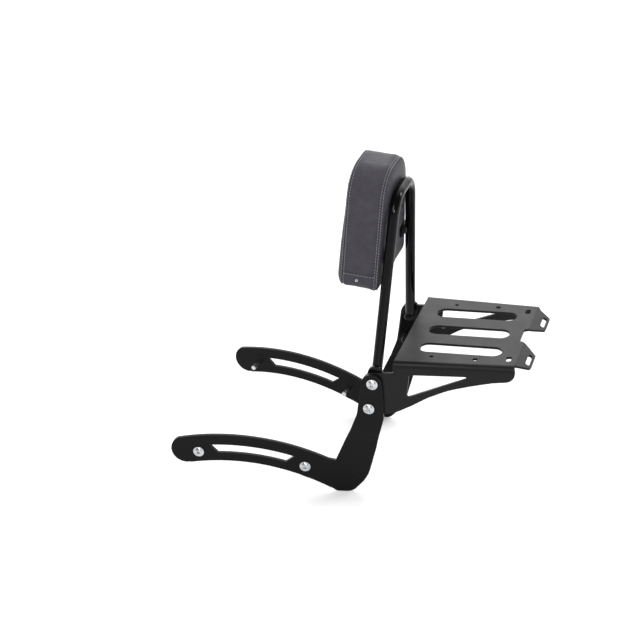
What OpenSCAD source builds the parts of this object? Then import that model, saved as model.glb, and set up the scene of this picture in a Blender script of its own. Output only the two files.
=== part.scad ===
// Motorcycle passenger backrest with luggage rack.
// X runs to the rear, Y to the right, Z up. The top of the rack is the plane z = 0.
// The origin lies midway between the two middle bolt holes of the rack.

/* [Rack] */
// Steel sheet of the rack
rack_t = 4; // [3:0.5:6]
// Outer bend radius where the top turns down into a side flange
rack_bend_r = 9.5; // [7:0.5:11]
// Distance from the origin forward to the front edge of the top
rack_front = 121.5; // [105:0.5:135]
// Distance from the origin back to the end of the side flanges
rack_rear = 64.5; // [60:0.5:72]
// Half width over the flanges at the front edge
rack_half_w = 116; // [108:0.5:130]
// Taper of each side towards the rear, in degrees
rack_taper = 3.5; // [1:0.25:6]
// Depth of the flange at its rear end
flange_rear_d = 24; // [20:0.5:30]
// Half spacing of the front and middle bolt holes
bolt_half_y = 86.5; // [80:0.5:90]
// Half spacing of the rear slotted holes
bolt_rear_half_y = 78; // [70:0.5:84]
// Distance from the origin forward to the front bolt holes
bolt_front_x = 68; // [60:0.5:76]
// Distance from the origin back to the rear slotted holes
bolt_rear_x = 50; // [44:0.5:54]
// Diameter of the front bolt holes
bolt_front_d = 6.6; // [5:0.1:8]
// Diameter of the middle bolt holes
bolt_mid_d = 8.6; // [6:0.1:10]
// Width of the two rear slotted holes
bolt_rear_d = 9; // [6:0.1:10]
// Length of the two rear slotted holes, across the rack
bolt_rear_l = 15; // [12:0.5:18]
// Length of the three long slots
slot_len = 130; // [100:1:140]
// Width of the three long slots
slot_w = 29; // [20:0.5:34]
// Pitch of the three long slots
slot_pitch = 58; // [50:0.5:60]
// Angle by which the two strap tabs bend down
tab_drop = 28; // [15:1:40]
// Length of a strap tab from its bend line
tab_len = 25.5; // [22:0.5:32]
// Length of the strap slot in a tab
strap_slot_len = 30; // [20:0.5:34]
// Width of the strap slot in a tab
strap_slot_w = 7; // [6:0.5:9]

/* [Side plates] */
// Steel of the two side plates
plate_t = 5; // [4:0.5:8]
// Radius of the plate round the upper screw
arm_r = 16; // [14:0.5:18]
// Inward fold below the screws, in degrees
fold_upper = 6; // [2:0.5:10]
// Outward fold where the strip begins, in degrees
fold_lower = 8; // [4:0.5:12]
// Centre radius of the curved strip along the fender
strip_r = 368.5; // [350:0.5:390]
// Width of the curved strip
strip_w = 48; // [42:1:56]
// Width of the arc slot in the strip
arc_slot_w = 14.5; // [8:0.5:18]

/* [Hoop] */
// Outside diameter of the tube
tube_d = 16; // [14:0.5:18]
// Wall of the tube
tube_wall = 2; // [1.5:0.25:3]
// Rearward lean of the hoop, in degrees
hoop_lean = 6.93; // [4:0.5:10]
// Inward lean of each leg, in degrees
leg_lean = 12.28; // [10:0.25:14]
// How far below the rack top the legs meet the lugs
weld_top = 12.8; // [8:0.1:18]
// Height of the tube axis at the top, along the hoop
hoop_top = 244; // [225:1:270]
// Centre radius of the two top corners
hoop_corner_r = 38; // [30:1:44]
// Steel of the lugs and of the pad tabs
lug_t = 5; // [4:0.5:6]
// Pad tab thickness
pad_tab_t = 4; // [3:0.5:5]

/* [Pad] */
// Half width of the pad at its lower edge
pad_half_low = 84; // [78:1:92]
// Half width of the pad at its upper corners
pad_half_up = 61; // [52:1:70]
// Lower edge of the pad, along the hoop
pad_low = 100; // [92:1:108]
// Upper edge of the pad, along the hoop
pad_up = 284; // [270:1:300]
// Radius of the upper corners of the pad
pad_corner_up = 52; // [35:1:58]
// Radius of the lower corners of the pad
pad_corner_low = 16; // [10:1:22]
// Straight side of the cushion between its two seams
pad_side = 52; // [44:1:60]
// Crown of the cushion in front of its front seam
pad_crown = 9; // [7:1:14]
// Crown of the rear panel behind its seam
pad_back_crown = 7.5; // [5:0.5:9]
// Thickness of the board inside the pad
board_t = 9; // [6:0.5:12]

/* [Fasteners] */
// Diameter of the side and fender screws
screw_d = 8; // [6:1:8]
// Head diameter of the side and fender screws
screw_head_d = 17.5; // [15:0.5:18]
// Reach of a fender screw past the inner face of its strip
fender_reach = 20; // [12:1:30]
// Diameter of the pad screws
pad_screw_d = 6; // [5:0.5:6]
// Clearance of a screw in its hole
hole_gap = 0.5; // [0.3:0.1:1]

/* [Hidden] */
$fn = 48;
black_top = "#3b3c3e";
black_plate = "#222324";
black_tube = "#17181a";
vinyl = "#2b2c30";
zinc = "#c9ccd0";
ply = "#b08a5a";

// Upper and lower screw of a side, in the frame of that side
s_up = [-34, -36];
s_low = [-42.5, -80];
// Fold lines of a side plate, in its flat pattern
fold_a = [-75.5, -120.5];
fold_b = [-30, -128.8];
fold_c = [-107, -184.5];
fold_d = [-64, -222.5];
fold_ab_dir = atan2(fold_b[1] - fold_a[1], fold_b[0] - fold_a[0]);
fold_cd_dir = atan2(fold_d[1] - fold_c[1], fold_d[0] - fold_c[0]);
// Step of the outline at each end of a fold
fold_ab_step = 0.15 * [cos(fold_ab_dir), sin(fold_ab_dir)];
fold_cd_step = 0.15 * [cos(fold_cd_dir), sin(fold_cd_dir)];
// Largest step of a rounded corner, in degrees
corner_step = 11;
// Rear end of the curved strip's centre line, its direction there, and the centre of its curve,
// in the flat pattern
strip_rear = [-123, -206.6];
strip_rear_a = 28;
strip_c = strip_rear - strip_r * [sin(strip_rear_a), cos(strip_rear_a)];
strip_screw_r = strip_r - 5.5;
strip_screw_a = [-5.5, 22.4];
arc_slot_r = strip_r - 1.5;
arc_slot_a = [-1.4, 18.2];
hoop_x = -rack_front - 27.6;
// Hoop corners: centre of the right one in the plane of the hoop
corner_w = hoop_top - hoop_corner_r;
// Half spacing of the leg axes at the level of the rack, so that the legs meet the lugs
leg_half_y = half_at(hoop_x) - (rack_t + lug_t) / cos(rack_taper) - tube_d / 2 / cos(leg_lean)
    - weld_top * tan(leg_lean);
corner_y = leg_half_y - corner_w * tan(leg_lean) - hoop_corner_r / cos(leg_lean);
leg_end_w = -27;
tab_bend_x = rack_rear - 2.5;
tab_h = 18;
tab_w_mid = 151;
// Pad screw of a side tab, inward of the axis of the leg
tab_hole_y = leg_half_y - tab_w_mid * tan(leg_lean) - 22.8;
// Half gap between the rear ends of the two strap tabs
strap_tab_in = 42;
// How far below the top of the hoop the upper pad screw sits
top_tab_drop = 31;
top_tab_hole_w = hoop_top - top_tab_drop;
// Distances along the normal of the hoop, measured from the plane of the tube axis
pad_back = -tube_d / 2 - 0.2;
seam_rear = pad_back - pad_back_crown;
seam_front = seam_rear - pad_side;
screw_clear = screw_d / 2 + hole_gap;

// Unit vector from a to b
function unit(a, b) = (b - a) / norm(b - a);
// Point a little past the fold line at b, coming from a: the sheets on both sides of a fold run
// into each other
function past(a, b) = b + unit(a, b) * 0.5;
// Half of the inner angle at corner i of an outline
function half_angle(p, i) = let (n = len(p), u = unit(p[i], p[(i + n - 1) % n]),
    v = unit(p[i], p[(i + 1) % n]))
    acos(max(-1, min(1, u * v))) / 2;
function cut_back(p, r, i) = r[i] / tan(half_angle(p, i));
function centre(p, r, i) = let (n = len(p), u = unit(p[i], p[(i + n - 1) % n]),
    v = unit(p[i], p[(i + 1) % n]))
    p[i] + (u + v) / norm(u + v) * r[i] / sin(half_angle(p, i));

// Points of the arc at corner i, from one edge to the next
function corner_arc(p, r, i) = let (c = centre(p, r, i), n = len(p),
    a = p[i] + unit(p[i], p[(i + n - 1) % n]) * cut_back(p, r, i) - c,
    b = p[i] + unit(p[i], p[(i + 1) % n]) * cut_back(p, r, i) - c,
    a0 = atan2(a[1], a[0]), t = atan2(a[0] * b[1] - a[1] * b[0], a * b),
    m = max(2, ceil(abs(t) / corner_step)))
    [for (k = [0:m]) c + r[i] * [cos(a0 + t * k / m), sin(a0 + t * k / m)]];

// Outline p whose corner i is rounded with radius r[i]
module rounded(p, r) {
    polygon([for (i = [0:len(p) - 1]) each (r[i] > 0 ? corner_arc(p, r, i) : [p[i]])]);
}

// Slot with round ends along x, from its centre
module slot2d(l, w) {
    square([l - w, w], center = true);
    for (s = [-1, 1]) translate([s * (l - w) / 2, 0]) circle(w / 2);
}

// Band of width 2 r from a to b with round ends
module link2d(a, b, r) {
    translate((a + b) / 2) rotate(atan2(b[1] - a[1], b[0] - a[0])) slot2d(norm(b - a) + 2 * r, 2 * r);
}

// Sheet in the x z plane, from y = y0 towards positive y
module wall(y0, t) {
    translate([0, y0 + t, 0]) rotate([90, 0, 0]) linear_extrude(t) children();
}

// Frame of the left side: x along the flange, y inward from the outer face of the flange
module left_side() {
    translate([-rack_front, -rack_half_w, 0]) rotate([0, 0, rack_taper]) children();
}

// side = -1 keeps the left, side = 1 mirrors it to the right
module on_side(side) {
    mirror([0, side > 0 ? 1 : 0, 0]) children();
}

// Turns what lies past a fold line that runs through p at angle dir, about the depth yp
module fold(p, dir, ang, yp) {
    translate([p[0], yp, p[1]]) rotate([0, -dir, 0]) rotate([ang, 0, 0]) rotate([0, dir, 0])
        translate([-p[0], -yp, -p[1]]) children();
}

// Frame of the hoop: x out of its plane to the rear, y across, z along it
module hoop_frame() {
    translate([hoop_x, 0, 0]) rotate([0, hoop_lean, 0]) children();
}

// Half width over the flanges at distance x
function half_at(x) = rack_half_w - (x + rack_front) * tan(rack_taper);
function top_half(x) = half_at(x) - rack_bend_r / cos(rack_taper);

// Flange outline, x along the flange from the front edge and z up, open at the bend
module flange2d() {
    l = (rack_front + rack_rear) / cos(rack_taper) + 2;
    difference() {
        union() {
            rounded([[l - 4, 6], [0, 6], [-0.5, -17.5], [-31, -19.6], [-45, -70], [-36, -95.8], [0, -87],
                [24, -74.5], [52, -58], [84, -44], [118, -35], [150, -flange_rear_d - 4],
                [l - 2.1, -flange_rear_d], [l - 2, -7.5], [l - 4, -1.5]],
                [0, 0, 3, 0, 0, 0, 60, 60, 60, 90, 90, 60, 16, 0, 0]);
            link2d(s_up, s_low, arm_r + 0.5);
        }
        rounded([[24, -20], [17.5, -60], [121, -18.8]], [3, 2.5, 2]);
        translate(s_up) circle(screw_clear);
        translate(s_low) circle(screw_clear);
    }
}

// Plan of the rack between its two flanges, drawn in by d at each side
module plan2d(x0, x1, d) {
    h0 = half_at(x0) - d;
    h1 = half_at(x1) - d;
    polygon([[x0, -h0], [x1, -h1], [x1, h1], [x0, h0]]);
}

// What a rounded corner of radius r takes off outside, or leaves inside, along one bend of the sheet
module corner_strip(r, reach) {
    c = rack_bend_r - 0.03;
    left_side() translate([-90, 0, 0]) rotate([90, 0, 90]) linear_extrude(320) difference() {
        translate([rack_bend_r - reach, -rack_bend_r]) square(reach);
        translate([c, -c]) circle(r);
    }
}

// Folded sheet: top and two flanges
module folded_sheet() {
    inner = rack_t / cos(rack_taper);
    difference() {
        translate([0, 0, -105]) linear_extrude(105) plan2d(-185, rack_rear, 0);
        difference() {
            translate([0, 0, -106]) linear_extrude(106 - rack_t) plan2d(-190, rack_rear + 10, inner);
            for (s = [-1, 1]) on_side(s) corner_strip(rack_bend_r - rack_t, rack_bend_r - rack_t + 0.5);
        }
        for (s = [-1, 1]) on_side(s) {
            corner_strip(rack_bend_r, rack_bend_r + 2);
            left_side() wall(-3, 20) difference() {
                translate([-110, -120]) square([420, 140]);
                flange2d();
            }
        }
        translate([-rack_front - 90, rack_bend_r - rack_half_w, -30])
            cube([90, 2 * (rack_half_w - rack_bend_r), 40]);
        translate([tab_bend_x, -top_half(rack_rear), -30]) cube([20, 2 * top_half(rack_rear), 40]);
    }
}

module strap_tab() {
    yo = top_half(rack_rear) - 0.5;
    y_end = yo - 13.6;
    difference() {
        translate([tab_bend_x, 0, 0]) rotate([0, tab_drop, 0]) translate([0, 0, -rack_t])
            linear_extrude(rack_t) difference() {
                rounded([[-1.6, -yo], [3, -yo + 0.5], [tab_len, -y_end], [tab_len, -strap_tab_in],
                    [5.5, 17.5 - strap_tab_in], [-1.6, 21.4 - strap_tab_in]], [0, 4, 6, 5, 14, 0]);
                translate([tab_len - 7.5, -(y_end + strap_tab_in) / 2]) rotate(90)
                    slot2d(strap_slot_len, strap_slot_w);
            }
        translate([tab_bend_x - 10, -yo - 10, 0]) cube([20, yo + 10, 10]);
    }
}

module luggage_rack() {
    color(black_top) difference() {
        union() {
            folded_sheet();
            for (s = [-1, 1]) on_side(s) strap_tab();
        }
        // rear cut-out between the strap tabs
        translate([0, 0, -20]) linear_extrude(40)
            rounded([[tab_bend_x + 1, 20.07 - strap_tab_in], [tab_bend_x + 1, strap_tab_in - 20.07],
                [tab_bend_x - 7, strap_tab_in - 23.5], [tab_bend_x - 7, 23.5 - strap_tab_in]], [0, 0, 4, 4]);
        for (y = [-slot_pitch, 0, slot_pitch]) translate([-29, y, -20]) linear_extrude(40)
            slot2d(slot_len, slot_w);
        for (s = [-1, 1]) {
            translate([-bolt_front_x, s * bolt_half_y, -10]) cylinder(h = 20, d = bolt_front_d);
            translate([0, s * bolt_half_y, -10]) cylinder(h = 20, d = bolt_mid_d);
            translate([bolt_rear_x, s * bolt_rear_half_y, -10]) rotate(90) linear_extrude(20)
                slot2d(bolt_rear_l, bolt_rear_d);
        }
    }
}

// Arm of a side plate, down to its upper fold
module arm2d() {
    difference() {
        union() {
            rounded([[s_up[0] - arm_r, s_up[1] + arm_r], [s_up[0] - arm_r - 1, s_up[1]], [-60, -78],
                [-63, -92],
                past([-63, -92], fold_a), past([-20.5, -99], fold_b), [-20.5, -99], [-18.5, -62],
                [s_up[0] + arm_r - 1, s_up[1]], [s_up[0] + arm_r, s_up[1] + arm_r]],
                [arm_r * 0.96, 20, 30, 30, 0, 0, 20, 40, 20, arm_r * 0.96]);
        }
        translate(s_up) circle(screw_clear);
        translate(s_low) circle(screw_clear);
    }
}

// Middle region of a side plate, between its folds
module mid2d() {
    front = [-85, -139];
    rear_low = [-54, -207];
    rear_up = [-37.5, -156];
    rounded([past(front, fold_a + fold_ab_step), front, past(front, fold_c + fold_cd_step),
        past(rear_low, fold_d - fold_cd_step), rear_low, rear_up, past(rear_up, fold_b - fold_ab_step)],
        [0, 60, 0, 0, 60, 60, 0]);
}

// Curved strip along the fender, from the lower fold to its front end
module strip2d() {
    ro = strip_r + strip_w / 2;
    ri = strip_r - strip_w / 2;
    difference() {
        union() {
            difference() {
                intersection() {
                    translate(strip_c) circle(ro, $fn = 240);
                    polygon([strip_c, strip_rear + [16, -9.7], strip_rear + [16.4, 22.1],
                        strip_c + [0, ro + 60], strip_c + [-ro * tan(12.5), ro]]);
                }
                translate(strip_c) circle(ri, $fn = 240);
            }
            rounded([[-148, -174], [-165, -214], [-128, -228.5], [-110, -242], [-84, -243],
                past([-84, -243], fold_d), past([-125, -180.5], fold_c), [-125, -180.5]],
                [0, 0, 40, 9, 22, 0, 0, 40]);
        }
        translate(strip_c) {
            // arc slot with slanted ends
            difference() {
                intersection() {
                    circle(arc_slot_r + arc_slot_w / 2, $fn = 240);
                    polygon([[0, 0], arc_pt(arc_slot_r - 7.25, arc_slot_a[0] + 0.9),
                        arc_pt(arc_slot_r + 7.25, arc_slot_a[0] - 0.9), [0, arc_slot_r + 60],
                        arc_pt(arc_slot_r + 7.25, arc_slot_a[1] + 0.9),
                        arc_pt(arc_slot_r - 7.25, arc_slot_a[1] - 0.9)]);
                }
                circle(arc_slot_r - arc_slot_w / 2, $fn = 240);
            }
            for (a = strip_screw_a) translate(arc_pt(strip_screw_r, a)) circle(screw_clear);
        }
        // rounded front end
        translate(strip_c) rotate(12.5) difference() {
            translate([-10, ri - 10]) square([40, strip_w + 20]);
            translate([24, strip_r]) circle(strip_w / 2);
            translate([24, ri - 20]) square([40, strip_w + 40]);
        }
    }
}

function arc_pt(r, a) = [r * sin(a), r * cos(a)];

module side_plate(side) {
    color(black_plate) on_side(side) left_side() {
        wall(-plate_t, plate_t) arm2d();
        fold(fold_a, fold_ab_dir, fold_upper, -plate_t) {
            wall(-plate_t, plate_t) mid2d();
            fold(fold_c, fold_cd_dir, -fold_lower, 0) wall(-plate_t, plate_t) strip2d();
        }
    }
}

// Path of the hoop tube with the radius r, in the frame of the hoop
module hoop_path(r, extra) {
    leg = (corner_w + hoop_corner_r * sin(leg_lean) - leg_end_w) / cos(leg_lean);
    for (s = [-1, 1]) on_side(-s) {
        translate([0, leg_half_y - leg_end_w * tan(leg_lean), leg_end_w]) rotate([leg_lean, 0, 0])
            translate([0, 0, -extra]) cylinder(h = leg + extra, r = r);
        translate([0, corner_y, corner_w]) rotate([90, 0, 90]) rotate([0, 0, leg_lean])
            rotate_extrude(angle = 90 - leg_lean) translate([hoop_corner_r, 0]) circle(r);
    }
    translate([0, -corner_y, hoop_top]) rotate([-90, 0, 0]) cylinder(h = 2 * corner_y, r = r);
}

module hoop_tube() {
    color(black_tube) difference() {
        hoop_frame() difference() {
            hoop_path(tube_d / 2, 0);
            hoop_path(tube_d / 2 - tube_wall, 20);
        }
        for (s = [-1, 1]) on_side(s) left_side() translate([-70, rack_t - 12, -80])
            cube([80, lug_t + 12, 72]);
    }
}

module hoop_lug(side) {
    color(black_plate) on_side(side) left_side() wall(rack_t, lug_t) difference() {
        union() {
            link2d(s_up, s_low, 13);
            link2d(s_up, [-30, -22], 12);
        }
        translate(s_up) circle(screw_clear);
        translate(s_low) circle(screw_clear);
    }
}

// Tab that reaches from a leg inward to the pad
module pad_tab(side) {
    color(black_tube) hoop_frame() on_side(-side) difference() {
        translate([pad_back, 0, 0]) rotate([90, 0, 90]) linear_extrude(pad_tab_t) difference() {
            translate([tab_hole_y + 9, tab_w_mid])
                rounded([[21, -tab_h / 2], [21, tab_h / 2], [-21, tab_h / 2], [-21, -tab_h / 2]],
                    [0, 0, 5, 5]);
            translate([tab_hole_y, tab_w_mid]) circle(pad_screw_d / 2 + hole_gap);
        }
        translate([0, leg_half_y - tab_w_mid * tan(leg_lean), tab_w_mid]) rotate([leg_lean, 0, 0]) {
            translate([0, 0, -40]) cylinder(h = 80, d = tube_d);
            translate([-20, 0, -40]) cube([40, 40, 80]);
        }
    }
}

module pad_tab_top() {
    color(black_tube) hoop_frame() difference() {
        translate([pad_back, 0, 0]) rotate([90, 0, 90]) linear_extrude(pad_tab_t) difference() {
            rounded([[12, top_tab_hole_w - 9], [12, hoop_top], [-12, hoop_top],
                [-12, top_tab_hole_w - 9]], [6, 0, 0, 6]);
            translate([0, top_tab_hole_w]) circle(pad_screw_d / 2 + hole_gap);
        }
        hoop_path(tube_d / 2, 0);
    }
}

// Outline of the pad, drawn in by d
module pad2d(d) {
    low = pad_half_low - d;
    up = pad_half_up - d * 0.9;
    r_low = max(4, pad_corner_low - d);
    r_up = max(12, pad_corner_up - d);
    rounded([[-low, pad_low + d], [low, pad_low + d], [up, pad_up - d], [-up, pad_up - d]],
        [r_low, r_low, r_up, r_up]);
}

// Slab of the pad between two distances from the plane of the tube axis
module pad_slab(x0, x1, d) {
    translate([x0, 0, 0]) rotate([90, 0, 90]) linear_extrude(x1 - x0) pad2d(d);
}

// The three points where the pad is screwed on
pad_points = [[-tab_hole_y, tab_w_mid], [tab_hole_y, tab_w_mid], [0, top_tab_hole_w]];

// Padded form: a slab whose face bulges from the seam at x0 to a crown at x1
module padded(x0, x1, d) {
    rise = x1 - x0;
    hull() {
        pad_slab(min(x0, x0 + rise * 0.02), max(x0, x0 + rise * 0.02), d);
        pad_slab(min(x0, x0 + rise * 0.42), max(x0, x0 + rise * 0.42), d + 5);
        pad_slab(min(x0, x0 + rise * 0.78), max(x0, x0 + rise * 0.78), d + 15);
        pad_slab(min(x0, x1), max(x0, x1), d + 34);
    }
}

module pad_cushion() {
    color(vinyl) hoop_frame() difference() {
        union() {
            pad_slab(seam_front - 0.2, seam_rear, 0);
            padded(seam_front, seam_front - pad_crown, 0);
        }
        pad_slab(seam_rear - board_t, seam_rear + 1, 5);
        for (p = pad_points) translate([seam_rear - board_t - 3, p[0], p[1]]) rotate([0, 90, 0])
            cylinder(h = 8, r = 10);
    }
}

module pad_board() {
    color(ply) hoop_frame() difference() {
        pad_slab(seam_rear - board_t, seam_rear, 5);
        for (p = pad_points) translate([seam_rear - 20, p[0], p[1]]) rotate([0, 90, 0])
            cylinder(h = 40, r = 4);
    }
}

module pad_back_panel() {
    color(vinyl) hoop_frame() difference() {
        padded(seam_rear, pad_back, 1);
        for (p = pad_points) translate([seam_rear - 20, p[0], p[1]]) rotate([0, 90, 0])
            cylinder(h = 40, r = 3.5);
    }
}

// Threaded insert in the board, with its flange on the foam side
module pad_insert(p) {
    color(zinc) hoop_frame() translate([0, p[0], p[1]]) rotate([0, 90, 0]) difference() {
        union() {
            translate([0, 0, seam_rear - board_t]) cylinder(h = board_t, r = 4);
            translate([0, 0, seam_rear - board_t - 1.5]) cylinder(h = 1.5, r = 9);
        }
        translate([0, 0, seam_rear - 20]) cylinder(h = 40, r = pad_screw_d / 2 + 0.05);
    }
}

// Pad screw from behind: washer on the tab, shank into the insert
module pad_screw(p) {
    seat = pad_back + pad_tab_t + 1.2;
    tip = seam_rear - board_t - 1;
    color(black_plate) hoop_frame() translate([0, p[0], p[1]]) rotate([0, 90, 0]) difference() {
        union() {
            translate([0, 0, tip]) cylinder(h = seat - tip, r = pad_screw_d / 2);
            translate([0, 0, seat]) cylinder(h = 1, r = 5.25);
            translate([0, 0, seat + 1]) intersection() {
                cylinder(h = 2.3, r = 5.25);
                translate([0, 0, -4.4]) sphere(6.83);
            }
        }
        translate([0, 0, seat + 1.2]) cylinder(h = 5, d = 4.62, $fn = 6);
    }
}

module pad_washer(p) {
    color(black_plate) hoop_frame() translate([0, p[0], p[1]]) rotate([0, 90, 0]) difference() {
        translate([0, 0, pad_back + pad_tab_t]) cylinder(h = 1.2, r = 6);
        translate([0, 0, pad_back + pad_tab_t - 1]) cylinder(h = 4, r = pad_screw_d / 2 + 0.2);
    }
}

// Flanged button screw along +y: head at negative y, seat at y = 0, a thinner neck below the head
module button_screw(reach, neck = 0) {
    rotate([-90, 0, 0]) difference() {
        union() {
            translate([0, 0, neck]) cylinder(h = reach - neck, d = screw_d);
            if (neck > 0) cylinder(h = neck + 1, d = screw_d * 0.9);
            translate([0, 0, -1.4]) cylinder(h = 1.4, d = screw_head_d);
            translate([0, 0, -4.6]) intersection() {
                cylinder(h = 3.2, d = screw_head_d * 0.8);
                translate([0, 0, 9.4]) sphere(9.4);
            }
        }
        translate([0, 0, -6]) cylinder(h = 4.4, d = 5.77, $fn = 6);
    }
}

module side_screw(side, s) {
    color(zinc) on_side(side) left_side() translate([s[0], -plate_t, s[1]])
        button_screw(plate_t + rack_t + lug_t + 9);
}

// Flanged cap nut on the inner face of a lug
module side_nut(side, s) {
    color(black_plate) on_side(side) left_side() translate([s[0], rack_t + lug_t, s[1]])
        rotate([-90, 0, 0]) difference() {
        union() {
            cylinder(h = 1.6, d = 17.5);
            cylinder(h = 6.5, d = 15, $fn = 6);
            translate([0, 0, 6.5]) intersection() {
                sphere(6.2);
                translate([0, 0, -1]) cylinder(h = 8, r = 6.2);
            }
        }
        translate([0, 0, -1]) cylinder(h = 10.6, d = screw_d + 0.1);
    }
}

module fender_screw(side, a) {
    p = strip_c + arc_pt(strip_screw_r, a);
    color(zinc) on_side(side) left_side() fold(fold_a, fold_ab_dir, fold_upper, -plate_t)
        fold(fold_c, fold_cd_dir, -fold_lower, 0) translate([p[0], -plate_t, p[1]])
            button_screw(plate_t + fender_reach, plate_t + 0.5);
}

luggage_rack();
side_plate(-1);  // side_plate_left
side_plate(1);  // side_plate_right
hoop_tube();
hoop_lug(-1);  // hoop_lug_left
hoop_lug(1);  // hoop_lug_right
pad_tab(-1);  // pad_tab_left
pad_tab(1);  // pad_tab_right
pad_tab_top();
pad_cushion();
pad_board();
pad_back_panel();
pad_insert(pad_points[0]);  // pad_insert_left
pad_insert(pad_points[1]);  // pad_insert_right
pad_insert(pad_points[2]);  // pad_insert_top
pad_screw(pad_points[0]);  // pad_screw_left
pad_screw(pad_points[1]);  // pad_screw_right
pad_screw(pad_points[2]);  // pad_screw_top
pad_washer(pad_points[0]);  // pad_washer_left
pad_washer(pad_points[1]);  // pad_washer_right
pad_washer(pad_points[2]);  // pad_washer_top
side_screw(-1, s_up);  // side_screw_left_upper
side_screw(-1, s_low);  // side_screw_left_lower
side_screw(1, s_up);  // side_screw_right_upper
side_screw(1, s_low);  // side_screw_right_lower
side_nut(-1, s_up);  // side_nut_left_upper
side_nut(-1, s_low);  // side_nut_left_lower
side_nut(1, s_up);  // side_nut_right_upper
side_nut(1, s_low);  // side_nut_right_lower
fender_screw(-1, strip_screw_a[0]);  // fender_screw_left_front
fender_screw(-1, strip_screw_a[1]);  // fender_screw_left_rear
fender_screw(1, strip_screw_a[0]);  // fender_screw_right_front
fender_screw(1, strip_screw_a[1]);  // fender_screw_right_rear
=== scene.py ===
import math

import bmesh
import bpy
import numpy as np
from mathutils import Matrix, Vector, noise


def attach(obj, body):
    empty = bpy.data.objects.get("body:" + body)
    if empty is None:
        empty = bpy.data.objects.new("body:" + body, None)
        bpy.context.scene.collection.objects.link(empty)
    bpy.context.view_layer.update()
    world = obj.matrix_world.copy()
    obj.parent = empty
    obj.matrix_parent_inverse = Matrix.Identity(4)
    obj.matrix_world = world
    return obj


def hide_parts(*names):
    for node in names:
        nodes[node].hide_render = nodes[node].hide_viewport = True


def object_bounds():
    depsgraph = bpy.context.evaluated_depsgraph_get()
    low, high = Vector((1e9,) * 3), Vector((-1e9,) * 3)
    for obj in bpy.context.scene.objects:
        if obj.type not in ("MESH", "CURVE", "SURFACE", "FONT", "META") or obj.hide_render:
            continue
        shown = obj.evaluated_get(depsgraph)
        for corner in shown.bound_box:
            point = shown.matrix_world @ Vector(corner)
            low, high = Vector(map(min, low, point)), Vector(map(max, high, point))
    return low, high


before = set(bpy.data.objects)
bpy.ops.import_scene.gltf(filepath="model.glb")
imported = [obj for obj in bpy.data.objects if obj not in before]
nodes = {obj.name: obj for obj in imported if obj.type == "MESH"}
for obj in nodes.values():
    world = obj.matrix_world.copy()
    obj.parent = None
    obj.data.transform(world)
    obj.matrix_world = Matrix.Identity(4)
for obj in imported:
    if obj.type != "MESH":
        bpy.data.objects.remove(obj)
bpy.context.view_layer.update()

# Camera
# A 90 mm lens from the left rear side, above the rack, rolled a little.
# Its place and turn come from the edges of the rack, the flange and the hoop.


def new_piece(name, data):
    made = bpy.data.objects.new(name, data)
    bpy.context.scene.collection.objects.link(made)
    return made


camera_data = bpy.data.cameras.new("camera")
camera_data.lens = 90.0
camera_data.sensor_width = 36.0
camera_data.clip_start = 0.05
camera_data.clip_end = 60.0
camera = new_piece("camera", camera_data)
camera_place = Vector((0.51074813, -2.15619827, 1.18677454))
turn, rise, roll = math.radians(20.0032), math.radians(27.2827), math.radians(-5.7248)
level_right = Vector((math.cos(turn), math.sin(turn), 0))
back = Vector((math.sin(turn) * math.cos(rise), -math.cos(turn) * math.cos(rise), math.sin(rise)))
level_up = back.cross(level_right)
right = math.cos(roll) * level_right + math.sin(roll) * level_up
up = math.cos(roll) * level_up - math.sin(roll) * level_right
facing = Matrix((right, up, back)).transposed().to_4x4()
camera.matrix_world = Matrix.Translation(camera_place) @ facing
bpy.context.scene.camera = camera

# Floor and studio light
# A plain white floor just below the side plates, a white surround, and four large soft lamps.
# They aren't part of the object.


def new_material(name):
    """A material, its node tree and its main shader."""
    made = bpy.data.materials.new(name)
    made.use_nodes = True
    return made, made.node_tree, made.node_tree.nodes["Principled BSDF"]


def node(tree, kind, **settings):
    made = tree.nodes.new(kind)
    for name, value in settings.items():
        if name in made.inputs:
            made.inputs[name].default_value = value
        else:
            setattr(made, name, value)
    return made


def map_range(tree, low, high, at_low, at_high):
    ends = {"From Min": low, "From Max": high, "To Min": at_low, "To Max": at_high}
    return node(tree, "ShaderNodeMapRange", **ends)


def link_all(tree, pairs):
    for a, b in pairs:
        tree.links.new(a, b)


floor_half, floor_gap = 30.0, 0.0008
floor_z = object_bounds()[0][2] - floor_gap
floor_turns = ((-1, -1), (1, -1), (1, 1), (-1, 1))
floor_mesh = bpy.data.meshes.new("studio_floor")
floor_corners = [(x * floor_half, y * floor_half, floor_z) for x, y in floor_turns]
floor_mesh.from_pydata(floor_corners, [], [(0, 1, 2, 3)])
studio_floor = new_piece("studio_floor", floor_mesh)
floor_paper, _, paper = new_material("floor_paper")
paper.inputs["Base Color"].default_value = (0.86, 0.86, 0.86, 1)
paper.inputs["Roughness"].default_value = 0.9
paper.inputs["Specular IOR Level"].default_value = 0.1
paper.inputs["Emission Color"].default_value = (1, 1, 1, 1)
paper.inputs["Emission Strength"].default_value = 0.15
floor_mesh.materials.append(floor_paper)

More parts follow.
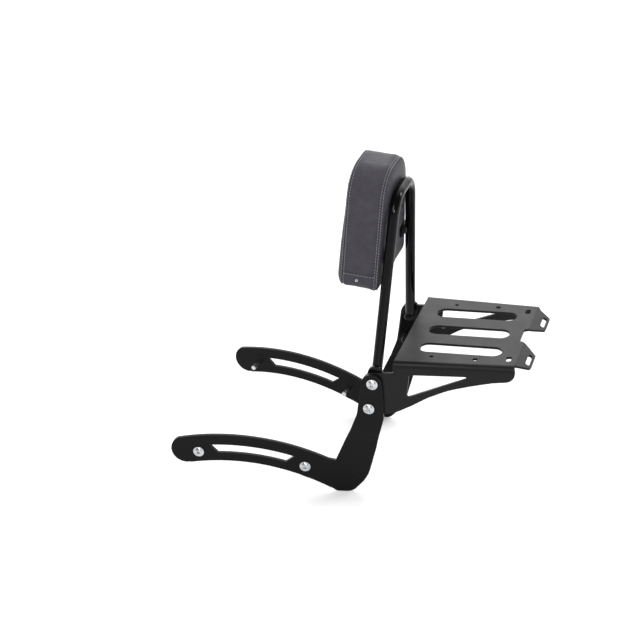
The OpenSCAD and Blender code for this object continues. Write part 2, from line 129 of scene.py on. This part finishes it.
# White surround: brightest above the far side, dim on the camera's side, and white all around the horizon
surround = bpy.data.worlds.new("surround")
surround.use_nodes = True
sky = surround.node_tree
sky_place = node(sky, "ShaderNodeTexCoord")
sky_toward = node(sky, "ShaderNodeVectorMath", operation="DOT_PRODUCT")
sky_toward.inputs[1].default_value = (-0.3, 0.87, 0.38)
sky_level = map_range(sky, 0.25, 0.97, 0.15, 2.9)
sky_level.interpolation_type = "SMOOTHSTEP"
sky_parts = node(sky, "ShaderNodeSeparateXYZ")
sky_horizon = map_range(sky, 0.2, 0.3, 1.05, 0.0)
sky_brighter = node(sky, "ShaderNodeMath", operation="MAXIMUM")
link_all(sky, (
    (sky_place.outputs["Generated"], sky_toward.inputs[0]),
    (sky_place.outputs["Generated"], sky_parts.inputs[0]),
    (sky_parts.outputs["Z"], sky_horizon.inputs["Value"]),
    (sky_toward.outputs["Value"], sky_level.inputs["Value"]),
    (sky_level.outputs["Result"], sky_brighter.inputs[0]),
    (sky_horizon.outputs["Result"], sky_brighter.inputs[1]),
    (sky_brighter.outputs[0], sky.nodes["Background"].inputs["Strength"]),
))
sky.nodes["Background"].inputs["Color"].default_value = (1, 1, 1, 1)
bpy.context.scene.world = surround
bpy.context.scene.view_settings.view_transform = "Standard"


def soft_lamp(name, place, aim, size, power):
    lamp_data = bpy.data.lights.new(name, "AREA")
    lamp_data.shape = "RECTANGLE"
    lamp_data.size, lamp_data.size_y = size
    lamp_data.energy = power
    lamp = new_piece(name, lamp_data)
    lamp.location = place
    lamp.rotation_euler = (Vector(aim) - Vector(place)).to_track_quat("-Z", "Y").to_euler()


soft_lamp("lamp_over", (-0.2, 1.2, 2.7), (-0.1, 0, 0), (3.0, 2.0), 8)
soft_lamp("lamp_rear_right", (2.4, 1.6, 1.9), (-0.15, 0, 0.1), (0.6, 1.6), 44)
soft_lamp("lamp_pad_left", (-0.35, -0.7, 0.85), (-0.16, 0, 0.25), (0.2, 0.3), 4.6)
soft_lamp("lamp_by_camera", (0.5, -2.05, 1.35), (-0.15, 0, 0.15), (0.3, 0.3), 24)

# Luggage rack
# One folded sheet of 4 mm steel with a tapered top, a flange at each side and two strap tabs bent down.
# It is laser cut, bent and powder coated in satin black, which rounds its edges and has a fine orange peel.


def sockets(tree, taken, given):
    for name, kind, value in taken:
        made = tree.interface.new_socket(name, in_out="INPUT", socket_type=kind)
        if value is not None:
            made.default_value = value
    for name, kind in given:
        tree.interface.new_socket(name, in_out="OUTPUT", socket_type=kind)
    return tree.nodes.new("NodeGroupInput"), tree.nodes.new("NodeGroupOutput")


# Powder coat: orange peel, sparse grit, rounded edges, and a mask of the edges, which the coats paint lighter
# as a painted edge highlight
powder = bpy.data.node_groups.new("powder_coat", "ShaderNodeTree")
taken, given = sockets(
    powder,
    [
        ("Peel Size", "NodeSocketFloat", 900.0),
        ("Peel Depth", "NodeSocketFloat", 0.1),
        ("Edge Radius", "NodeSocketFloat", 0.0007),
    ],
    [
        ("Normal", "NodeSocketVector"),
        ("Edge", "NodeSocketFloat"),
        ("Cloud", "NodeSocketFloat"),
        ("Grit", "NodeSocketFloat"),
    ],
)
place = node(powder, "ShaderNodeTexCoord")
peel = node(powder, "ShaderNodeTexNoise", Detail=2.0, Roughness=0.5)
cloud = node(powder, "ShaderNodeTexNoise", Scale=24.0, Detail=7.0, Roughness=0.7)
grit = node(powder, "ShaderNodeTexVoronoi", Scale=420.0)
grit_dots = map_range(powder, 0.0, 0.16, 1.0, 0.0)
grit_pick = node(powder, "ShaderNodeMath", operation="GREATER_THAN")
grit_pick.inputs[1].default_value = 0.82
grit_cells = node(powder, "ShaderNodeSeparateColor")
grit_mask = node(powder, "ShaderNodeMath", operation="MULTIPLY")
height = node(powder, "ShaderNodeMath", operation="ADD")
round_edge = node(powder, "ShaderNodeBevel", samples=6)
bump = node(powder, "ShaderNodeBump", Distance=0.0003)
flat = node(powder, "ShaderNodeNewGeometry")
likeness = node(powder, "ShaderNodeVectorMath", operation="DOT_PRODUCT")
# mask of the edges, which the coats use for a painted edge highlight
edge = map_range(powder, 0.995, 0.86, 0.0, 1.0)
link_all(powder, (
    (place.outputs["Object"], peel.inputs["Vector"]),
    (place.outputs["Object"], cloud.inputs["Vector"]),
    (place.outputs["Object"], grit.inputs["Vector"]),
    (taken.outputs["Peel Size"], peel.inputs["Scale"]),
    (grit.outputs["Distance"], grit_dots.inputs["Value"]),
    (grit.outputs["Color"], grit_cells.inputs["Color"]),
    (grit_cells.outputs["Red"], grit_pick.inputs[0]),
    (grit_dots.outputs["Result"], grit_mask.inputs[0]),
    (grit_pick.outputs[0], grit_mask.inputs[1]),
    (peel.outputs["Fac"], height.inputs[0]),
    (grit_mask.outputs[0], height.inputs[1]),
    (height.outputs[0], bump.inputs["Height"]),
    (taken.outputs["Peel Depth"], bump.inputs["Strength"]),
    (taken.outputs["Edge Radius"], round_edge.inputs["Radius"]),
    (round_edge.outputs["Normal"], bump.inputs["Normal"]),
    (round_edge.outputs["Normal"], likeness.inputs[0]),
    (flat.outputs["True Normal"], likeness.inputs[1]),
    (likeness.outputs["Value"], edge.inputs["Value"]),
    (bump.outputs["Normal"], given.inputs["Normal"]),
    (edge.outputs["Result"], given.inputs["Edge"]),
    (cloud.outputs["Fac"], given.inputs["Cloud"]),
    (grit_mask.outputs[0], given.inputs["Grit"]),
))


def two_tones(tree, first, second):
    mix = node(tree, "ShaderNodeMix", data_type="RGBA")
    mix.inputs[6].default_value = (*first, 1)
    mix.inputs[7].default_value = (*second, 1)
    return mix


def coated(name, colour, painted_edge_highlight, rough, spread, peel_size, peel_depth, specular, coat=0.0, coat_rough=0.1):
    """Powder coat in one colour, lighter at the edges as a painted edge highlight, its roughness spread both
    ways.
    """
    paint, tree, shader = new_material(name)
    group = node(tree, "ShaderNodeGroup", node_tree=powder)
    group.inputs["Peel Size"].default_value = peel_size
    group.inputs["Peel Depth"].default_value = peel_depth
    # the second colour along the edge mask is a painted edge highlight
    tone = two_tones(tree, colour, painted_edge_highlight)
    gloss = map_range(tree, 0.3, 0.7, rough - spread, rough + spread)
    link_all(tree, (
        (group.outputs["Edge"], tone.inputs[0]),
        (tone.outputs[2], shader.inputs["Base Color"]),
        (group.outputs["Cloud"], gloss.inputs["Value"]),
        (gloss.outputs["Result"], shader.inputs["Roughness"]),
        (group.outputs["Normal"], shader.inputs["Normal"]),
    ))
    shader.inputs["Specular IOR Level"].default_value = specular
    shader.inputs["Coat Weight"].default_value = coat
    shader.inputs["Coat Roughness"].default_value = coat_rough
    return paint


def dress(name, paint):
    nodes[name].data.materials.clear()
    nodes[name].data.materials.append(paint)


# its second colour is the painted edge highlight
rack_coat = coated(
    "rack_satin_black", (0.0034, 0.0034, 0.0037), (0.07, 0.07, 0.073), rough=0.38, spread=0.07,
    peel_size=850.0, peel_depth=0.3, specular=0.17,
)
dress("luggage_rack", rack_coat)

# Side plates
# Laser-cut 5 mm steel, one for each side, with two slight folds and a long curved strip.
# They carry the rack and hoop, and have the same powder coat, painted a shade darker than the rack's for the
# shade on their upright faces; its lighter edge colour is a painted edge highlight.
plate_coat_shaded = coated(
    "plate_satin_black", (0.003, 0.003, 0.0032), (0.045, 0.045, 0.047), rough=0.34, spread=0.05,
    peel_size=1000.0, peel_depth=0.16, specular=0.1,
)
for name in ("side_plate_left", "side_plate_right"):
    dress(name, plate_coat_shaded)

# Hoop
# A 16 mm steel tube bent to a narrow arch, with a lug welded to each end and three flat tabs for the pad.
# Its powder coat is glossier than that of the sheet parts.
# its second colour is the painted edge highlight
tube_coat = coated(
    "tube_gloss_black", (0.0022, 0.0022, 0.0025), (0.01, 0.01, 0.011), rough=0.18, spread=0.03,
    peel_size=700.0, peel_depth=0.07, specular=0.06, coat=0.14, coat_rough=0.05,
)
hoop_nodes = ("hoop_tube", "hoop_lug_left", "hoop_lug_right", "pad_tab_left", "pad_tab_right", "pad_tab_top")
for name in hoop_nodes:
    dress(name, tube_coat)

# Pad cover
# Foam under charcoal vinyl: a back panel, a side strip and a bulging front, sewn together along two seams.
# The mesh follows the outline of the pad ring by ring.
hoop_x, hoop_lean = -0.1491, math.radians(6.93)
pad_half_low, pad_half_up, pad_low, pad_up = 0.084, 0.061, 0.100, 0.284
pad_corner_low, pad_corner_up = 0.016, 0.052
pad_back, seam_rear, seam_front, pad_crown = -0.0082, -0.0157, -0.0677, 0.0112
seam_roll = 0.0022
cross_seam_w = 0.1275
# how far the spine of the pad stays inside its lower and upper edge
spine_inset_low, spine_inset_up = 0.052, 0.062
# how far a face reaches inwards from the outline, and the widths that s covers on the strip and on a face
face_inset, strip_width, face_width = 0.034, 0.052, 0.036
# where the belly of the strip fades out and where the front grows flatter, over what height, and by how much
belly_from, belly_over, belly_height = 0.235, 0.045, 0.0016
flat_from, flat_over, flat_by = 0.15, 0.085, 0.005
front_swell = 0.003
# puckers beside a seam: their pitch along it, height, distance from it and width
pucker_pitch, pucker_height, pucker_away, pucker_wide = 0.0068, 0.00045, 0.0055, 0.0042
# lumps of the foam: how tight they are across the pad and through it, the finer ones, and both heights
lump_scale, lump_scale_deep, fine_ratio, lump_height, fine_height = 26, 34, 3.7, 0.0007, 0.00025
stitch_lift, cross_row_drop = 0.0003, 0.0028
around, corner_steps, closing_rings = 560, 40, 16


def from_hoop(x, y, w):
    return Vector((
        hoop_x + x * math.cos(hoop_lean) + w * math.sin(hoop_lean),
        y,
        -x * math.sin(hoop_lean) + w * math.cos(hoop_lean),
    ))


def pad_outline(count):
    """Even points along the pad from the middle of its lower edge, with outward directions and distances."""
    corners = [(-pad_half_low, pad_low, pad_corner_low), (-pad_half_up, pad_up, pad_corner_up),
               (pad_half_up, pad_up, pad_corner_up), (pad_half_low, pad_low, pad_corner_low)]
    dense = [np.array((0.0, pad_low))]
    for i, (y, w, r) in enumerate(corners):
        here = np.array((y, w))
        before = np.array(corners[i - 1][:2])
        after = np.array(corners[(i + 1) % 4][:2])
        u = (before - here) / np.linalg.norm(before - here)
        v = (after - here) / np.linalg.norm(after - here)
        half = math.acos(max(-1, min(1, float(u @ v)))) / 2
        middle = here + (u + v) / np.linalg.norm(u + v) * r / math.sin(half)
        a = here + u * r / math.tan(half) - middle
        b = here + v * r / math.tan(half) - middle
        start = math.atan2(a[1], a[0])
        sweep = math.atan2(a[0] * b[1] - a[1] * b[0], float(a @ b))
        for k in range(corner_steps + 1):
            angle = start + sweep * k / corner_steps
            dense.append(middle + r * np.array((math.cos(angle), math.sin(angle))))
    dense = np.array(dense + [dense[0]])
    steps = np.linalg.norm(np.diff(dense, axis=0), axis=1)
    along = np.concatenate(([0], np.cumsum(steps)))
    at = np.linspace(0, along[-1], count, endpoint=False)
    points = np.stack([np.interp(at, along, dense[:, k]) for k in (0, 1)], axis=1)
    tangent = np.roll(points, -3, axis=0) - np.roll(points, 3, axis=0)
    tangent /= np.linalg.norm(tangent, axis=1)[:, None]
    outward = np.stack((-tangent[:, 1], tangent[:, 0]), axis=1)
    return points, outward, at


outline, outward, along_outline = pad_outline(around)
# each point of the outline has a point on the centre line of the pad, and its rings run towards it
spine_low, spine_high = pad_low + spine_inset_low, pad_up - spine_inset_up
centres = np.stack((np.zeros(around), np.clip(outline[:, 1], spine_low, spine_high)), axis=1)
inward = centres - outline
inward /= np.linalg.norm(inward, axis=1)[:, None]


def smooth_step(x):
    x = max(0.0, min(1.0, x))
    return x * x * (3 - 2 * x)


def pad_section(s, p):
    """Inset from the outline and place along the hoop's normal at s: 0 to 1 is the back, 2 to 3 the front."""
    top = smooth_step((p[1] - belly_from) / belly_over)
    crown = pad_crown - flat_by * smooth_step((p[1] - flat_from) / flat_over)
    if s < 1:
        inset = seam_roll + (face_inset - seam_roll) * (1 - s) ** 1.35
        return inset, pad_back + (seam_rear - pad_back) * s ** 3.2
    if s < 2:
        t = s - 1
        belly = belly_height * (1 - top) * math.sin(math.pi * t) ** 0.8
        inset = seam_roll * (1 - smooth_step(t / 0.17)) - belly
        return inset, seam_rear + (seam_front - seam_rear) * t
    t = s - 2
    return face_inset * t ** 1.6, seam_front - crown * (1 - (1 - t) ** 2.3)


# place, depth and width of the groove along each seam
seam_pinch = ((1.0, 0.0013, 0.0021), (2.0, 0.0013, 0.0019))
seam_steps = np.array((-0.09, -0.06, -0.04, -0.025, -0.012, 0, 0.012, 0.025, 0.04, 0.06, 0.09))
rows = [round(x, 4) for x in np.linspace(0, 3, 64)]
for seam in (1.0, 2.0):
    rows += [round(x, 4) for x in seam + seam_steps]
rows = sorted(set(rows))


def lumps(y, w, depth):
    """Slow unevenness of the foam under the vinyl, with a finer one on it."""
    spot = Vector((y * lump_scale, w * lump_scale, depth * lump_scale_deep))
    return lump_height * noise.noise(spot) + fine_height * noise.noise(spot * fine_ratio)


def pad_point(i, s, lift=0.0):
    """Surface of the cover at step i of the outline and s across it, with its seams, puckers and creases."""
    p, n = outline[i % around], outward[i % around]
    inset, depth = pad_section(s, p)
    inset_a, depth_a = pad_section(max(0.0, s - 0.01), p)
    inset_b, depth_b = pad_section(min(3.0, s + 0.01), p)
    slope = np.array((inset_b - inset_a, depth_b - depth_a))
    slope /= max(1e-9, np.linalg.norm(slope))
    # normal of the section, as (inset, depth), that points out of the cover
    face = np.array((-slope[1], slope[0]))
    if face[0] > 0 and 0.9 < s < 2.1:
        face = -face
    if s <= 1 and face[1] < 0 or s >= 2 and face[1] > 0:
        face = -face
    arc = along_outline[i % around]
    push = lift
    for middle, deep, wide in seam_pinch:
        off = (s - middle) * (strip_width if 1 < s < 2 else face_width)
        push -= deep * math.exp(-((off / wide) ** 2))
        wander = 2.2 * math.sin(arc * 61 + middle * 4)
        pucker = 0.5 + 0.5 * math.sin(arc * 2 * math.pi / pucker_pitch + wander)
        push += pucker_height * pucker * math.exp(-((abs(off) - pucker_away) / pucker_wide) ** 2)
    if 0.98 < s < 2.02:
        push -= 0.0012 * math.exp(-(((p[1] - cross_seam_w) / 0.0015) ** 2))
        push += 0.0006 * math.exp(-(((p[1] - cross_seam_w + 0.004) / 0.003) ** 2))
    push += lumps(p[0], p[1], depth)
    inset += face[0] * push
    depth += face[1] * push
    # the lower rear corners hang down a little
    corner = math.exp(-(((abs(p[0]) - pad_half_low + 0.006) / 0.014) ** 2))
    corner *= smooth_step((0.128 - p[1]) / 0.024)
    droop = 0.0056 * math.exp(-(((s - 0.99) / 0.13) ** 2))
    tuck = 0.001 * math.exp(-(((s - 1.6) / 0.28) ** 2))
    sag = corner * (droop - tuck)
    near_edge = min(inset, 0.005)
    return p - n * near_edge + inward[i % around] * (inset - near_edge) - np.array((0.0, sag)), depth


def on_cover(i, s, lift=0.0):
    q, depth = pad_point(i, s, lift)
    return from_hoop(depth, q[0], q[1])


verts, faces = [], []
for s in rows:
    verts += [on_cover(i, s) for i in range(around)]
for r in range(len(rows) - 1):
    for i in range(around):
        a, b = r * around + i, r * around + (i + 1) % around
        faces.append((a, b, b + around, a + around))


def close_face(first, s_end, sign, crown):
    """Rings from the last row to the middle of a face, shrinking towards its centre line."""
    ring = [first + i for i in range(around)]
    edge_points = [pad_point(i, s_end) for i in range(around)]
    for k in range(1, closing_rings + 1):
        t = k / closing_rings
        new = []
        for i in range(around):
            q, depth = edge_points[i]
            target = centres[i]
            level = pad_section(s_end, target)[1]
            here = q + (target - q) * t
            depth += (level - depth) * t
            swell = crown * (1 - (1 - t) ** 2)
            push = lumps(here[0], here[1], level)
            new.append(len(verts))
            verts.append(from_hoop(depth + sign * (swell + push * min(1, 4 * t)), here[0], here[1]))
        for i in range(around):
            j = (i + 1) % around
            faces.append((ring[i], ring[j], new[j], new[i]))
        ring = new


close_face(len(verts) - around, 3.0, -1, front_swell)
close_face(0, 0.0, 1, 0.0)


def smooth_mesh(name, verts, faces, weld=0.0):
    """A smooth mesh with its faces outwards. Points closer than weld become one."""
    mesh = bpy.data.meshes.new(name)
    mesh.from_pydata(verts, [], faces)
    shape = bmesh.new()
    shape.from_mesh(mesh)
    if weld:
        bmesh.ops.remove_doubles(shape, verts=shape.verts, dist=weld)
        bmesh.ops.dissolve_degenerate(shape, edges=shape.edges, dist=weld / 2)
    bmesh.ops.recalc_face_normals(shape, faces=shape.faces)
    shape.to_mesh(mesh)
    shape.free()
    mesh.polygons.foreach_set("use_smooth", [True] * len(mesh.polygons))
    return mesh


cover_mesh = smooth_mesh("pad_cover", verts, faces, weld=0.00002)
pad_cover = new_piece("pad_cover", cover_mesh)

# Grain of the vinyl: pebbles of about a millimetre with creases between them
grain = bpy.data.node_groups.new("vinyl_grain", "ShaderNodeTree")
taken, given = sockets(
    grain,
    [("Grain Size", "NodeSocketFloat", 1100.0), ("Grain Depth", "NodeSocketFloat", 0.35)],
    [("Normal", "NodeSocketVector"), ("Crease", "NodeSocketFloat"), ("Cloud", "NodeSocketFloat")],
)
place = node(grain, "ShaderNodeTexCoord")
warp = node(grain, "ShaderNodeTexNoise", Scale=260.0, Detail=2.0)
bend = node(grain, "ShaderNodeMix", data_type="VECTOR", factor_mode="UNIFORM")
bend.inputs[0].default_value = 0.0035
pebbles = node(grain, "ShaderNodeTexVoronoi", feature="DISTANCE_TO_EDGE")
crease = map_range(grain, 0.0, 0.22, 0.0, 1.0)
fine = node(grain, "ShaderNodeTexNoise", Scale=2600.0, Detail=2.0)
fine_share = node(grain, "ShaderNodeMath", operation="MULTIPLY")
fine_share.inputs[1].default_value = 0.3
relief = node(grain, "ShaderNodeMath", operation="ADD")
cloud = node(grain, "ShaderNodeTexNoise", Scale=70.0, Detail=7.0, Roughness=0.72)
bump = node(grain, "ShaderNodeBump", Distance=0.0003)
link_all(grain, (
    (place.outputs["Object"], warp.inputs["Vector"]),
    (place.outputs["Object"], bend.inputs[4]),
    (warp.outputs["Color"], bend.inputs[5]),
    (bend.outputs[1], pebbles.inputs["Vector"]),
    (taken.outputs["Grain Size"], pebbles.inputs["Scale"]),
    (pebbles.outputs["Distance"], crease.inputs["Value"]),
    (place.outputs["Object"], fine.inputs["Vector"]),
    (place.outputs["Object"], cloud.inputs["Vector"]),
    (fine.outputs["Fac"], fine_share.inputs[0]),
    (crease.outputs["Result"], relief.inputs[0]),
    (fine_share.outputs[0], relief.inputs[1]),
    (relief.outputs[0], bump.inputs["Height"]),
    (taken.outputs["Grain Depth"], bump.inputs["Strength"]),
    (bump.outputs["Normal"], given.inputs["Normal"]),
    (crease.outputs["Result"], given.inputs["Crease"]),
    (cloud.outputs["Fac"], given.inputs["Cloud"]),
))


def vinyl(name, deep, light, rough, depth):
    """Grained vinyl mottled between two colours, with painted shade darkening the creases, which are also
    duller.
    """
    skin, tree, shader = new_material(name)
    group = node(tree, "ShaderNodeGroup", node_tree=grain)
    group.inputs["Grain Depth"].default_value = depth
    mottle = two_tones(tree, deep, light)
    # painted shade: the colour is multiplied darker in the creases of the grain
    crease_shade = node(tree, "ShaderNodeMix", data_type="RGBA", blend_type="MULTIPLY")
    crease_shade.inputs[7].default_value = (0.72, 0.72, 0.74, 1)
    crease_shade_share = map_range(tree, 0.0, 1.0, 0.7, 0.0)
    gloss = map_range(tree, 0.0, 1.0, rough + 0.16, rough)
    link_all(tree, (
        (group.outputs["Cloud"], mottle.inputs[0]),
        (mottle.outputs[2], crease_shade.inputs[6]),
        (group.outputs["Crease"], crease_shade_share.inputs["Value"]),
        (crease_shade_share.outputs["Result"], crease_shade.inputs[0]),
        (crease_shade.outputs[2], shader.inputs["Base Color"]),
        (group.outputs["Crease"], gloss.inputs["Value"]),
        (gloss.outputs["Result"], shader.inputs["Roughness"]),
        (group.outputs["Normal"], shader.inputs["Normal"]),
    ))
    shader.inputs["Specular IOR Level"].default_value = 0.09
    return skin


pad_vinyl = vinyl("pad_charcoal_vinyl", (0.022, 0.021, 0.0245), (0.068, 0.0645, 0.077), 0.34, 0.5)
cover_mesh.materials.append(pad_vinyl)
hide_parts("pad_cushion", "pad_back_panel")
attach(pad_cover, "root")

# Stitches of the pad
# Heavy charcoal thread in two rows beside each seam, one stitch every 4.6 mm, pulled down into the vinyl.
# Geometry Nodes sets the stitches along paths that lie on the cover.
stitch_tree = bpy.data.node_groups.new("stitch_row", "GeometryNodeTree")
taken, given = sockets(
    stitch_tree,
    [
        ("Path", "NodeSocketGeometry", None),
        ("Stitch Pitch", "NodeSocketFloat", 0.0046),
        ("Stitch Length", "NodeSocketFloat", 0.0034),
        ("Thread Width", "NodeSocketFloat", 0.0011),
        ("Thread", "NodeSocketMaterial", None),
    ],
    [("Stitches", "NodeSocketGeometry")],
)
as_curve = node(stitch_tree, "GeometryNodeMeshToCurve")
evenly = node(stitch_tree, "GeometryNodeResampleCurve", mode="LENGTH")
one = node(stitch_tree, "GeometryNodeMeshUVSphere", Segments=8, Rings=6, Radius=0.5)
size = node(stitch_tree, "ShaderNodeCombineXYZ")
heading = node(stitch_tree, "GeometryNodeInputTangent")
turned = node(stitch_tree, "FunctionNodeAlignRotationToVector", axis="Z")
set_down = node(stitch_tree, "GeometryNodeInstanceOnPoints")
shade_smooth = node(stitch_tree, "GeometryNodeSetShadeSmooth")
solid = node(stitch_tree, "GeometryNodeRealizeInstances")
threaded = node(stitch_tree, "GeometryNodeSetMaterial")
link_all(stitch_tree, (
    (taken.outputs["Path"], as_curve.inputs["Mesh"]),
    (as_curve.outputs["Curve"], evenly.inputs["Curve"]),
    (taken.outputs["Stitch Pitch"], evenly.inputs["Length"]),
    (evenly.outputs["Curve"], set_down.inputs["Points"]),
    (heading.outputs["Tangent"], turned.inputs["Vector"]),
    (turned.outputs["Rotation"], set_down.inputs["Rotation"]),
    (taken.outputs["Thread Width"], size.inputs["X"]),
    (taken.outputs["Thread Width"], size.inputs["Y"]),
    (taken.outputs["Stitch Length"], size.inputs["Z"]),
    (size.outputs["Vector"], set_down.inputs["Scale"]),
    (one.outputs["Mesh"], shade_smooth.inputs["Geometry"]),
    (shade_smooth.outputs["Geometry"], set_down.inputs["Instance"]),
    (set_down.outputs["Instances"], solid.inputs["Geometry"]),
    (solid.outputs["Geometry"], threaded.inputs["Geometry"]),
    (taken.outputs["Thread"], threaded.inputs["Material"]),
    (threaded.outputs["Geometry"], given.inputs["Stitches"]),
))

thread, tree, fibre = new_material("charcoal_thread")
twist_place = node(tree, "ShaderNodeTexCoord")
twist = node(tree, "ShaderNodeTexWave", Scale=900.0, Distortion=1.5)
twist_bump = node(tree, "ShaderNodeBump", Distance=0.0001, Strength=0.5)
# painted shade: the thread is darker where its twist dips, following the twist bump
twist_shade_tone = two_tones(tree, (0.13, 0.13, 0.145), (0.24, 0.24, 0.265))
link_all(tree, (
    (twist_place.outputs["Object"], twist.inputs["Vector"]),
    (twist.outputs["Fac"], twist_bump.inputs["Height"]),
    (twist.outputs["Fac"], twist_shade_tone.inputs[0]),
    (twist_shade_tone.outputs[2], fibre.inputs["Base Color"]),
    (twist_bump.outputs["Normal"], fibre.inputs["Normal"]),
))
fibre.inputs["Roughness"].default_value = 0.55


def stitched(name, points, closed):
    """Sets a row of stitches along points of the cover and returns it as a plain mesh object."""
    path_mesh = bpy.data.meshes.new(name + "_path")
    count = len(points)
    path_mesh.from_pydata(points, [(i, (i + 1) % count) for i in range(count if closed else count - 1)], [])
    path = new_piece(name + "_path", path_mesh)
    modifier = path.modifiers.new("row", "NODES")
    modifier.node_group = stitch_tree
    for item in stitch_tree.interface.items_tree:
        if item.name == "Thread":
            modifier[item.identifier] = thread
    bpy.context.view_layer.update()
    made = bpy.data.meshes.new_from_object(path.evaluated_get(bpy.context.evaluated_depsgraph_get()))
    path.modifiers.remove(modifier)
    bpy.data.objects.remove(path)
    made.name = name
    return new_piece(name, made)


seam_rows = (("stitches_rear_outer", 1.036), ("stitches_rear_inner", 0.935),
             ("stitches_front_side", 1.96), ("stitches_front_face", 2.07))
for name, s in seam_rows:
    row = stitched(name, [on_cover(i, s, stitch_lift) for i in range(around)], True)
    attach(row, "root")
# one row across the strip on each side, just under the seam there
cross_row_w = cross_seam_w - cross_row_drop
for name, sign in (("stitches_cross_left", -1), ("stitches_cross_right", 1)):
    steps = [i for i in range(around) if outline[i][0] * sign > 0 and outline[i][1] > cross_row_w]
    low = min(steps, key=lambda i: outline[i][1])
    row = stitched(name, [on_cover(low, float(s), stitch_lift) for s in np.linspace(1.07, 1.91, 60)], False)
    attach(row, "root")

# Eyelet of the pad
# A small metal ring low on the left side strip of the cover, turned in one piece and set into the vinyl.
# What the photograph shows there can't be told for sure.
eyelet_s, eyelet_w = 1.55, 0.1165
left_steps = [i for i in range(around) if outline[i][0] < 0]
eyelet_step = min(left_steps, key=lambda i: abs(outline[i][1] - eyelet_w))
eyelet_at = on_cover(eyelet_step, eyelet_s, 0.0)
eyelet_out = (on_cover(eyelet_step, eyelet_s, 0.002) - eyelet_at).normalized()
eyelet_side = (on_cover(eyelet_step, eyelet_s + 0.05, 0.0) - eyelet_at).normalized()
eyelet_side = (eyelet_side - eyelet_side.dot(eyelet_out) * eyelet_out).normalized()
eyelet_turn = Matrix((eyelet_side, eyelet_out.cross(eyelet_side), eyelet_out)).transposed()
ring_profile = [(0.0009, 0.0002), (0.0009, 0.0006), (0.0011, 0.0009), (0.0015, 0.001), (0.0019, 0.0008),
                (0.0022, 0.0003), (0.0023, -0.0006), (0.0009, -0.0006)]
ring_around = 48
ring_verts, ring_faces = [], []
for k in range(ring_around):
    angle = 2 * math.pi * k / ring_around
    for radius, high in ring_profile:
        spoke = Vector((radius * math.cos(angle), radius * math.sin(angle), high))
        ring_verts.append(eyelet_at + eyelet_turn @ spoke)
corners = len(ring_profile)
for k in range(ring_around):
    a, b = k * corners, (k + 1) % ring_around * corners
    for m in range(corners):
        n = (m + 1) % corners
        ring_faces.append((a + m, b + m, b + n, a + n))
eyelet_metal, _, eyelet_shader = new_material("nickel_eyelet")
eyelet_shader.inputs["Base Color"].default_value = (0.62, 0.6, 0.57, 1)
eyelet_shader.inputs["Metallic"].default_value = 1.0
eyelet_shader.inputs["Roughness"].default_value = 0.28
eyelet_mesh = smooth_mesh("pad_eyelet", ring_verts, ring_faces)
eyelet_mesh.materials.append(eyelet_metal)
eyelet = new_piece("pad_eyelet", eyelet_mesh)
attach(eyelet, "root")

# Board and fasteners of the pad
# A plywood board under the foam holds three threaded inserts.
# Screws with washers go through the tabs of the hoop into them.
plywood, tree, wood = new_material("bare_plywood")
place = node(tree, "ShaderNodeTexCoord")
stretch = node(tree, "ShaderNodeMapping")
stretch.inputs["Scale"].default_value = (300, 12, 60)
figure = node(tree, "ShaderNodeTexNoise", Scale=1.0, Detail=6.0, Distortion=0.6)
wood_tone = two_tones(tree, (0.36, 0.22, 0.11), (0.58, 0.42, 0.25))
wood_bump = node(tree, "ShaderNodeBump", Distance=0.0004, Strength=0.3)
link_all(tree, (
    (place.outputs["Object"], stretch.inputs["Vector"]),
    (stretch.outputs["Vector"], figure.inputs["Vector"]),
    (figure.outputs["Fac"], wood_tone.inputs[0]),
    (wood_tone.outputs[2], wood.inputs["Base Color"]),
    (figure.outputs["Fac"], wood_bump.inputs["Height"]),
    (wood_bump.outputs["Normal"], wood.inputs["Normal"]),
))
wood.inputs["Roughness"].default_value = 0.7
dress("pad_board", plywood)

zinc, tree, metal = new_material("bright_zinc")
place = node(tree, "ShaderNodeTexCoord")
patches = node(tree, "ShaderNodeTexNoise", Scale=420.0, Detail=4.0, Roughness=0.65)
zinc_tone = two_tones(tree, (0.3, 0.315, 0.33), (0.72, 0.73, 0.74))
zinc_gloss = map_range(tree, 0.3, 0.7, 0.22, 0.36)
scratches = node(tree, "ShaderNodeTexNoise", Scale=2400.0, Detail=2.0)
zinc_edge = node(tree, "ShaderNodeBevel", samples=6, Radius=0.0003)
zinc_bump = node(tree, "ShaderNodeBump", Distance=0.0001, Strength=0.2)
link_all(tree, (
    (place.outputs["Object"], patches.inputs["Vector"]),
    (place.outputs["Object"], scratches.inputs["Vector"]),
    (patches.outputs["Fac"], zinc_tone.inputs[0]),
    (zinc_tone.outputs[2], metal.inputs["Base Color"]),
    (patches.outputs["Fac"], zinc_gloss.inputs["Value"]),
    (zinc_gloss.outputs["Result"], metal.inputs["Roughness"]),
    (scratches.outputs["Fac"], zinc_bump.inputs["Height"]),
    (zinc_edge.outputs["Normal"], zinc_bump.inputs["Normal"]),
    (zinc_bump.outputs["Normal"], metal.inputs["Normal"]),
))
metal.inputs["Metallic"].default_value = 1.0
for spot in ("left", "right", "top"):
    dress("pad_insert_" + spot, zinc)
    dress("pad_screw_" + spot, plate_coat_shaded)
    dress("pad_washer_" + spot, plate_coat_shaded)

# Screws and nuts of the side plates
# Flanged button screws of bright zinc: on each side, two clamp plate, rack and lug with flanged cap nuts.
# Two more go through the curved strip, to hold the part up.
for side in ("left", "right"):
    for height in ("upper", "lower"):
        dress(f"side_screw_{side}_{height}", zinc)
        dress(f"side_nut_{side}_{height}", plate_coat_shaded)
    for spot in ("front", "rear"):
        dress(f"fender_screw_{side}_{spot}", zinc)
